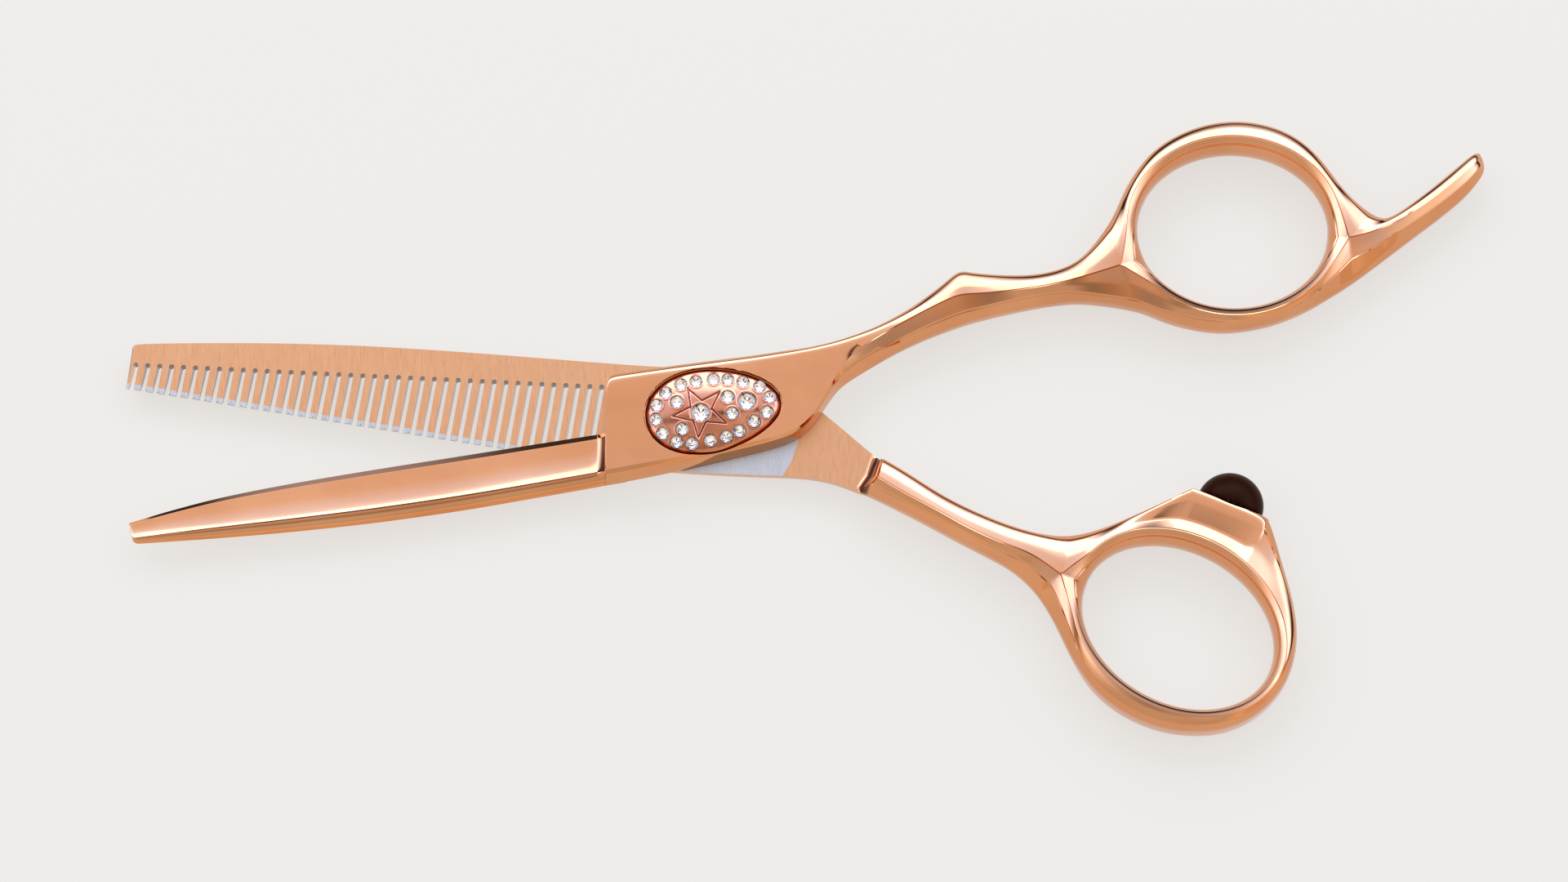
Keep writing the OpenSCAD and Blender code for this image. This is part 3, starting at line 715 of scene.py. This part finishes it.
# ---------------------------------------------------------------- thumb half
THUMB_SHANK = [
    ((-69.1, 8.9), (-69.4, 6.5), (-69.8, 4), "comb"),
    ((-68.2, 9.5), (-68.6, 6.6), (-69, 3.88), "comb"),
    ((-60, 9.65), (-60.3, 6.4), (-60.6, 2.5), "comb"),
    ((-50, 9.6), (-50.3, 5.8), (-50.6, 0.85), "comb"),
    ((-40, 9.25), (-40.3, 5), (-40.6, -0.8), "comb"),
    ((-30, 8.6), (-30.3, 4), (-30.6, -2.45), "comb"),
    ((-20, 7.8), (-20.3, 2.8), (-20.6, -4.05), "comb"),
    ((-12, 7.15), (-12.3, 1.6), (-12.6, -5.3), "ride"),
    ((-6, 6.7), (-6.3, 0.6), (-6.6, -6.05), "ride"),
    ((0, 6.4), (0, -0.1), (0, -6.55), "ride"),
    ((6, 5.5), (6, -0.9), (6, -6.85), "ride"),
    ((11, 3.9), (11, -2), (11, -7), "ride"),
    ((14.3, 1.3), (14.2, -3.3), (14, -7.3), "ride"),
    ((17.6, -1.5), (17.1, -5), (16.4, -7.85), "ride"),
    ((20.9, -4.4), (20, -6.9), (18.8, -8.75), "ride"),
    ((21.35, -4.7), (20.5, -7.2), (19.2, -8.97), "ramp_low"),
    ((21.75, -4.97), (20.95, -7.52), (19.55, -9.17), "ramp_high"),
    ((22.1, -5.18), (21.4, -7.85), (19.9, -9.36), "shank"),
    ((24.7, -6.7), (24.2, -9.6), (22.5, -10.6), "shank"),
    ((29.2, -9.7), (28.4, -11.9), (27, -12.95), "shank"),
    ((33.2, -11.75), (32.2, -14.1), (31, -15.2), "shank"),
    ((37.2, -13.4), (36, -15.9), (34.6, -17.1), "shank"),
    ((40.8, -14.45), (39.8, -17.4), (37.8, -19), "shank"),
    ((44.5, -14.75), (43.3, -19.9), (40.6, -21.8), "junction"),
]
# angle round the ring, x, y, profile
THUMB_ROUND = [
    (192, 44.5, -14.75, "ring_outer"), (172, 48.2, -13.9, "ring_outer"),
    (152, 52.2, -12.3, "ring_outer"), (134, 56.2, -10.65, "boss"), (120, 59.1, -9.25, "boss"),
    (115, 59.9, -9.2, "boss"), (98, 63.9, -10.85, "boss"), (82, 68.0, -12.5, "boss"),
    (76, 68.65, -13.3, "boss_side"), (64, 69.4, -15.6, "boss_side"),
    (49, 70.3, -18.8, "ring_outer"), (32, 71.3, -22.5, "ring_outer"),
    (15, 71.8, -26.5, "ring_outer"), (-2, 71.4, -30, "ring_outer"),
    (-20, 70, -33.5, "ring_outer"), (-40, 67.1, -36.6, "ring_outer"),
    (-60, 63, -38.6, "ring_outer"), (-80, 58.3, -38.9, "ring_outer"),
    (-100, 53.9, -38, "ring_outer"), (-120, 49.8, -35.9, "ring_outer"),
    (-138, 46.8, -33.1, "ring_outer"), (-152, 44.6, -29.6, "shank_lower"),
    (-162, 42.8, -25.6, "shank_lower"), (-168, 40.6, -21.8, "shank_lower"),
]
SEAT_STATIONS = (4, 8)     # corners of the bumper's boss on the ring's outline


def thumb_half_mesh():
    kinds = {
        "comb": ("comb_top", "comb_top", "comb_spine", "comb_teeth"),
        "ride": ("comb_top", "comb_top", "ride_back", "ride_back"),
        "shank": ("shank_upper", "shank_lower", "shank_upper", "shank_lower"),
        "junction": ("ring_outer", "shank_lower", "ring_outer", "shank_lower"),
    }
    n = len(THUMB_SHANK) - 1
    around = [p[1:3] for p in THUMB_ROUND[1:]]
    outline = spline([s[0] for s in THUMB_SHANK] + around + [s[2] for s in THUMB_SHANK[-2::-1]])
    seats = [(n + s) * STEPS for s in SEAT_STATIONS]
    outline = relax(outline, 40, [STEPS, *seats])
    shank = relax(spline([s[1] for s in THUMB_SHANK]), 20)
    t = even([p[0] for p in THUMB_ROUND]).ravel()
    radii = np.asarray(THUMB_HOLE) + INNER_SLOPE
    ring = ring_crest(THUMB_CENTRE, radii, THUMB_TILT, t, [(192, 0.13)])
    ring[0] = ring[-1] = shank[-1]
    crest = join(shank, ring, shank[::-1])
    ramps = {"ramp_low": 0.13, "ramp_high": 0.42}

    def section(kind, k):
        if kind in ramps:
            return mixed_row(kinds["ride"][k], kinds["shank"][k], ramps[kind])
        return profile_row(kinds[kind][k])

    sides = [[section(s[3], k) for s in THUMB_SHANK] for k in range(4)]
    middle = [profile_row(p[3]) for p in THUMB_ROUND[1:]]
    top = even(sides[0] + middle + sides[1][-2::-1])
    ramp = [k * STEPS for k in range(13, 19)]
    top = relax(top, 60, [*ramp, *(len(top) - 1 - k for k in ramp)])
    bottom = even(sides[2] + middle + sides[3][-2::-1])
    hole = oval(THUMB_CENTRE, THUMB_HOLE, THUMB_TILT, t)
    inner = even([profile_row("ring_inner")] * 2, len(t) - 1)
    return mesh_from_grids("comb_half", [
        (strip(outline, crest, top, 1), False),
        (strip(outline, crest, bottom, -1), True),
        (strip(hole, ring, inner, 1), True),
        (strip(hole, ring, inner, -1), False),
    ])


SLOT_COUNT, TOOTH_PITCH, SLOT_WIDTH, COMB_TILT = 40, 1.445, 0.6, -9.4
FIRST_SLOT = (-68.7, 6.9)
SLOT_SHIFT = (1.1, 6.6)    # how far the last slot's end lies off a straight row at COMB_TILT


def slot_end(i):
    """Middle of the round end of slot i; a half number lies between two slots."""
    straight = np.asarray(FIRST_SLOT) + turned((i * TOOTH_PITCH, 0), COMB_TILT)
    return straight + np.array(SLOT_SHIFT) * (i / SLOT_COUNT)


def add_stack(bm, loops):
    """Adds a closed skin through a stack of loops of points, from below."""
    rings = [[bm.verts.new((x * MM, y * MM, z * MM)) for x, y, z in loop] for loop in loops]
    bm.faces.new(rings[0][::-1])
    bm.faces.new(rings[-1])
    for a, b in zip(rings, rings[1:]):
        for i in range(len(a)):
            j = (i + 1) % len(a)
            bm.faces.new((a[i], a[j], b[j], b[i]))


def prism(bm, outline, low, high):
    """Adds an upright prism; outline is counter-clockwise."""
    add_stack(bm, [[(x, y, z) for x, y in outline] for z in (low, high)])


def object_from(bm, name):
    mesh = bpy.data.meshes.new(name)
    bm.to_mesh(mesh)
    bm.free()
    made = bpy.data.objects.new(name, mesh)
    bpy.context.scene.collection.objects.link(made)
    return made


def slot_cutter():
    """All the comb's slots: straight sides, a round end at the top, open at the tooth tips."""
    bm = bmesh.new()
    half = SLOT_WIDTH / 2
    arc = [(half * math.cos(a), half * math.sin(a)) for a in np.radians(np.arange(0, 181, 15))]
    shape = np.array([*arc, (-half, -10), (half, -10)])
    for i in range(SLOT_COUNT):
        prism(bm, turned(shape, COMB_TILT) + slot_end(i), 0, 5)
    return object_from(bm, "slot_cutter")


def tip_notch_cutter():
    """A small V at the tip of every tooth."""
    bm = bmesh.new()
    shape = np.array([(0, 0.22), (-0.2, -0.4), (0.2, -0.4)])
    for i in range(SLOT_COUNT - 1):
        x = slot_end(i + 0.5)[0] - 0.9
        y = TIP_HEIGHT - TIP_DROP * x
        prism(bm, turned(shape, COMB_TILT) + np.array([x, y]), 0, 5)
    return object_from(bm, "notch_cutter")


def boolean(target, other, operation):
    modifier = target.modifiers.new("cut", "BOOLEAN")
    modifier.object = other
    modifier.operation = operation
    modifier.solver = "EXACT"
    settle(target)
    bpy.data.objects.remove(other)


def settle(target):
    """Applies the modifiers of an object."""
    graph = bpy.context.evaluated_depsgraph_get()
    mesh = bpy.data.meshes.new_from_object(target.evaluated_get(graph))
    target.modifiers.clear()
    target.data = mesh


def shade(target, sharp_angle=32):
    mesh = target.data
    mesh.shade_smooth()
    mesh.set_sharp_from_angle(angle=math.radians(sharp_angle))
    weighted = target.modifiers.new("weighted", "WEIGHTED_NORMAL")
    weighted.keep_sharp = True
    weighted.weight = 60


# ---------------------------------------------------------------- pivot cap
CAP_CENTRE, CAP_A, CAP_B, CAP_TILT, CAP_TAPER = (1.55, 0.6), 8.4, 5.3, 8, 0.16


def egg(inset, t):
    """Egg-shaped outline; t in degrees."""
    t = np.radians(np.asarray(t, float))
    x = (CAP_A - inset) * np.cos(t)
    y = (CAP_B - inset) * np.sin(t) * (1 - CAP_TAPER * np.cos(t))
    return np.asarray(CAP_CENTRE) + turned(np.stack([x, y], -1), CAP_TILT)


def recess_cutter():
    """The cap's recess, with a fine chamfer at its mouth."""
    t = np.arange(0, 360, 2.5)
    loops = [(0, 5.2), (0, 5.96), (-0.16, 6.11), (-0.16, 7)]
    bm = bmesh.new()
    add_stack(bm, [[(*p, z) for p in egg(inset, t)] for inset, z in loops])
    return object_from(bm, "recess_cutter")


# radius and height of the corners of each bore, from below
COMB_BORE = [(4.6, 0), (4.6, 1.65), (3.52, 1.65), (3.52, 3.6)]
BLOCK_BORE = [(2.52, 2.9), (2.52, 4.48), (4.32, 4.48), (4.32, 5.5)]


def bore_cutter(levels):
    """A stepped round bore about the pivot."""
    bm = bmesh.new()
    t = np.radians(np.arange(0, 360, 5))
    add_stack(bm, [[(r * c, r * s, z) for c, s in zip(np.cos(t), np.sin(t))] for r, z in levels])
    return object_from(bm, "bore_cutter")


CAP_EDGE, CAP_RISE, CAP_GAP = 5.85, 0.98, 0.12
CAP_FOOT = 5.25            # height of the cap's lower edge, inside its recess
GROOVE_DEPTH, GROOVE_WIDTH = 0.13, 0.09
STAR = [
    (-1.54, 3.13), (0.2, 1.55), (2.33, 2.7), (1.34, 0.54), (3.17, -1.28), (0.68, -1.08),
    (-0.25, -3.03), (-0.86, -0.98), (-3.38, -0.33), (-1.21, 0.78),
]


def distance_to_star(points):
    corners = np.asarray(STAR)
    best = np.full(points.shape[:-1], 1e9)
    for a, b in zip(corners, np.roll(corners, -1, 0)):
        t = np.clip(((points - a) @ (b - a)) / ((b - a) @ (b - a)), 0, 1)
        best = np.minimum(best, np.linalg.norm(points - a - t[..., None] * (b - a), axis=-1))
    return best


def cap_height(share):
    """Height of the dome; share is 0 in the middle and 1 at the edge."""
    return CAP_EDGE + CAP_RISE * (1 - share ** 2)


def cap_share(p):
    """Where a point of the plan lies on the cap: 0 in the middle, 1 at the edge."""
    d = turned(np.asarray(p, float) - CAP_CENTRE, -CAP_TILT)
    u = d[..., 0] / (CAP_A - CAP_GAP)
    v = d[..., 1] / (CAP_B - CAP_GAP)
    share = np.hypot(u, v)
    for _ in range(12):
        c = u / np.maximum(share, 1e-6)
        share = np.hypot(u, v / (1 - CAP_TAPER * np.clip(c, -1, 1)))
    return share


def cap_mesh(stones):
    t = np.linspace(0, 360, 361)[:-1]
    shares = np.concatenate([np.linspace(0.004, 0.965, 130), [0.98, 0.992, 1.0]])
    base = np.asarray(CAP_CENTRE)
    rim = egg(CAP_GAP, t) - base
    plan = base + shares[:, None, None] * rim[None]
    z = cap_height(shares)[:, None] * np.ones(len(t))
    groove = distance_to_star(plan)
    z = z - GROOVE_DEPTH * np.exp(-(groove / GROOVE_WIDTH) ** 2)
    for x, y, r in stones:
        away = np.hypot(plan[..., 0] - x, plan[..., 1] - y)
        collet = 0.1 if r > 1 else 0.03
        z = z + collet * np.exp(-((away - r - 0.12) / 0.09) ** 2)
    z = z - 0.4 * (np.clip(shares - 0.9, 0, 1)[:, None] / 0.1) ** 2
    top = np.concatenate([plan, z[..., None]], -1)
    wall = np.concatenate([plan[-1], np.full((len(t), 1), CAP_FOOT)], -1)
    grid = np.concatenate([top, wall[None]], 0)
    grid = np.concatenate([grid, grid[:, :1]], 1)
    made = mesh_from_grids("cap", [(grid, False)])
    paint_groove_shade(made.data, stones)
    return made


def paint_groove_shade(mesh, stones):
    """Second material, painted shade, in the star's grooves, in a hairline round each crystal and
    at the cap's edge.
    """
    centres = np.array([f.center for f in mesh.polygons])[:, :2] / MM
    dark = (distance_to_star(centres) < 0.085) | (cap_share(centres) > 0.985)
    for x, y, r in stones:
        away = np.hypot(centres[:, 0] - x, centres[:, 1] - y)
        dark |= away < r + 0.06
        dark &= away > r - 0.1
    for face, value in zip(mesh.polygons, dark):
        face.material_index = int(value)


# ---------------------------------------------------------------- crystals
STONE_TURN = 0.37          # radians from one crystal's facets to the next one's


def all_stones():
    """Name, x, y and radius of every crystal, places and sizes from the frame."""
    found = []
    for name in sorted(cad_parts):
        if name.startswith("crystal_"):
            low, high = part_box(name)
            x, y = (low.x + high.x) / 2 / MM, (low.y + high.y) / 2 / MM
            found.append((name, x, y, (high.x - low.x) / 2 / MM))
    return found


def stone_base(x, y):
    """Height of a crystal's girdle."""
    return float(cap_height(cap_share((x, y)))) - 0.06


def seat_cutter(stones):
    """A conical seat under every crystal."""
    bm = bmesh.new()
    t = np.radians(np.arange(0, 360, 10))
    for _, x, y, r in stones:
        base = stone_base(x, y)
        levels = [(0.2, base - 0.74 * r), (1.0, base - 0.1), (1.03, base + 0.5)]
        add_stack(bm, [[(x + r * k * c, y + r * k * s, z) for c, s in zip(np.cos(t), np.sin(t))]
                       for k, z in levels])
    return object_from(bm, "seat_cutter")


def brilliant_mesh(name, x, y, r, seed):
    """A round brilliant: a table and facets above its girdle, a pavilion below."""
    base = stone_base(x, y)
    spin = seed * STONE_TURN
    levels = [
        (0.0, -0.62 * r, 0, 8), (0.52 * r, -0.30 * r, 0.5, 8), (0.985 * r, 0.0, 0, 16),
        (0.985 * r, 0.05 * r, 0, 16), (0.78 * r, 0.20 * r, 0.5, 8), (0.56 * r, 0.31 * r, 0, 8),
    ]
    bm = bmesh.new()
    for radius, height, shift, count in levels:
        if radius == 0:
            bm.verts.new((x * MM, y * MM, (base + height) * MM))
            continue
        for k in range(count):
            a = spin + (k + shift) * 2 * math.pi / count
            bm.verts.new(((x + radius * math.cos(a)) * MM, (y + radius * math.sin(a)) * MM,
                          (base + height) * MM))
    bmesh.ops.convex_hull(bm, input=bm.verts)
    bmesh.ops.dissolve_limit(bm, angle_limit=math.radians(1), verts=bm.verts, edges=bm.edges)
    bmesh.ops.recalc_face_normals(bm, faces=bm.faces)
    return object_from(bm, name)


def foil_mesh(name, x, y, r, seed):
    """The silvered cone under a crystal and the rim that grips it."""
    base = stone_base(x, y)
    bm = bmesh.new()
    count = 16
    spin = seed * STONE_TURN
    tip = bm.verts.new((x * MM, y * MM, (base - 0.68 * r) * MM))
    rings = []
    angles = [spin + k * 2 * math.pi / count for k in range(count)]
    for wide, high in ((0.56, -0.34), (1.0, -0.02), (1.07, 0.04), (1.12, -0.08)):
        radius, height = wide * r, high * r
        rings.append([bm.verts.new(((x + radius * math.cos(a)) * MM,
                                    (y + radius * math.sin(a)) * MM,
                                    (base + height) * MM)) for a in angles])
    # a few facets take foil_shadow, painted shade; the rim takes the dark groove finish, painted
    # shade round the stone
    for k in range(count):
        face = bm.faces.new((tip, rings[0][k], rings[0][(k + 1) % count]))
        face.material_index = 2 if (k * 5 + seed * 3) % count in (0, 1, 2) else 0
    for level, (a, b) in enumerate(zip(rings, rings[1:])):
        for k in range(count):
            j = (k + 1) % count
            face = bm.faces.new((a[k], b[k], b[j], a[j]))
            face.material_index = 1 if level else 2 if (k * 7 + seed * 5) % count in (3, 4) else 0
    return object_from(bm, name)


# ---------------------------------------------------------------- bumper
SEAT, SEAT_TILT, BUMPER_R = (64.0, -10.8), -22, 4.1


def bumper_mesh():
    """A dome a little flatter across the handle's thickness, with a rounded foot."""
    rings, around = 40, 96
    rise = np.concatenate([[0.02, 0.05, 0.09], np.linspace(0.13, 1, rings)])
    phi = np.linspace(0, 2 * math.pi, around + 1)
    share = np.sqrt(np.clip(1 - rise ** 2, 0, 1))
    share[:3] = [0.955, 0.985, 0.995]
    along = share[:, None] * BUMPER_R * np.cos(phi)
    up = rise[:, None] * BUMPER_R * np.ones(len(phi))
    z = MID + share[:, None] * 3.12 * np.sin(phi)
    plan = np.asarray(SEAT) + turned(np.stack([along, up], -1), SEAT_TILT)
    grid = np.concatenate([plan, z[..., None]], -1)
    return mesh_from_grids("bumper_dome", [(grid, True)])


# ---------------------------------------------------------------- assembly
def build():
    rose = polished_metal("polished_rose", ROSE_DARK, ROSE_LIGHT)
    copper = polished_metal("copper_cap", (0.60, 0.21, 0.105), (0.70, 0.27, 0.145), (0.08, 0.16))
    silver = polished_metal("silver_foil", (0.92, 0.85, 0.73), (1, 0.94, 0.83), (0.02, 0.06))
    shadow = polished_metal("foil_shadow", (0.02, 0.018, 0.018), (0.05, 0.045, 0.045), (0.1, 0.2))
    # the foil glows faintly: painted light that whitens the crystals
    foil_shader = silver.node_tree.nodes["Principled BSDF"]
    foil_shader.inputs["Emission Color"].default_value = (1, 0.99, 0.97, 1)
    foil_shader.inputs["Emission Strength"].default_value = 0.3
    # dark copper finish: painted shade in the cap's grooves and edge, round each crystal and on
    # the foils' rims
    groove = polished_metal("copper_groove_shade", (0.16, 0.035, 0.02), (0.24, 0.06, 0.035), (0.3, 0.45))
    steel = steel_material()
    glass = crystal_material()
    comb_metal = comb_half_material()
    dark = bumper_material()
    stones = all_stones()

    plain = finger_half_mesh()
    boolean(plain, plain_blade_mesh(), "UNION")
    boolean(plain, recess_cutter(), "DIFFERENCE")
    boolean(plain, bore_cutter(BLOCK_BORE), "DIFFERENCE")
    plain.data.materials.clear()
    plain.data.materials.append(rose)
    shade(plain, 24)
    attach(plain, "finger_half")
    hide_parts("plain_blade", "finger_handle")

    comb = thumb_half_mesh()
    boolean(comb, bore_cutter(COMB_BORE), "DIFFERENCE")
    boolean(comb, slot_cutter(), "DIFFERENCE")
    boolean(comb, tip_notch_cutter(), "DIFFERENCE")
    comb.data.materials.clear()
    comb.data.materials.append(comb_metal)
    shade(comb)
    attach(comb, "thumb_half")
    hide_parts("comb_blade", "thumb_handle")

    cap = cap_mesh([s[1:] for s in stones])
    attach(cap, "finger_half")
    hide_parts("jewel_plate")
    cap.data.materials.append(copper)
    cap.data.materials.append(groove)
    boolean(cap, seat_cutter(stones), "DIFFERENCE")
    shade(cap, 50)
    for seed, (name, x, y, r) in enumerate(stones):
        stone = brilliant_mesh(name.replace("crystal", "stone"), x, y, r, seed)
        stone.data.materials.append(glass)
        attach(stone, "finger_half")
        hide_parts(name)
        foil = foil_mesh(name.replace("crystal", "foil"), x, y, r, seed)
        for finish in (silver, groove, shadow):
            foil.data.materials.append(finish)
        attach(foil, "finger_half")

    dome = bumper_mesh()
    dome.data.materials.append(dark)
    shade(dome, 50)
    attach(dome, "thumb_half")
    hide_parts("bumper")

    # the pivot's pieces and the bumper's screw keep their CAD shapes
    for name in ("pivot_bolt", "thrust_washer", "spring_washer", "pivot_bush", "bumper_screw",
                 "tension_nut"):
        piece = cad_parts[name]
        piece.data.materials.clear()
        piece.data.materials.append(rose if name == "tension_nut" else steel)


make_camera()
make_world()
make_floor()
make_light("key_back", (-0.1, 0.62, 0.62), (0.02, 0, 0), (1.1, 0.4), 2.2)
bpy.context.scene.view_settings.view_transform = "Standard"
build()
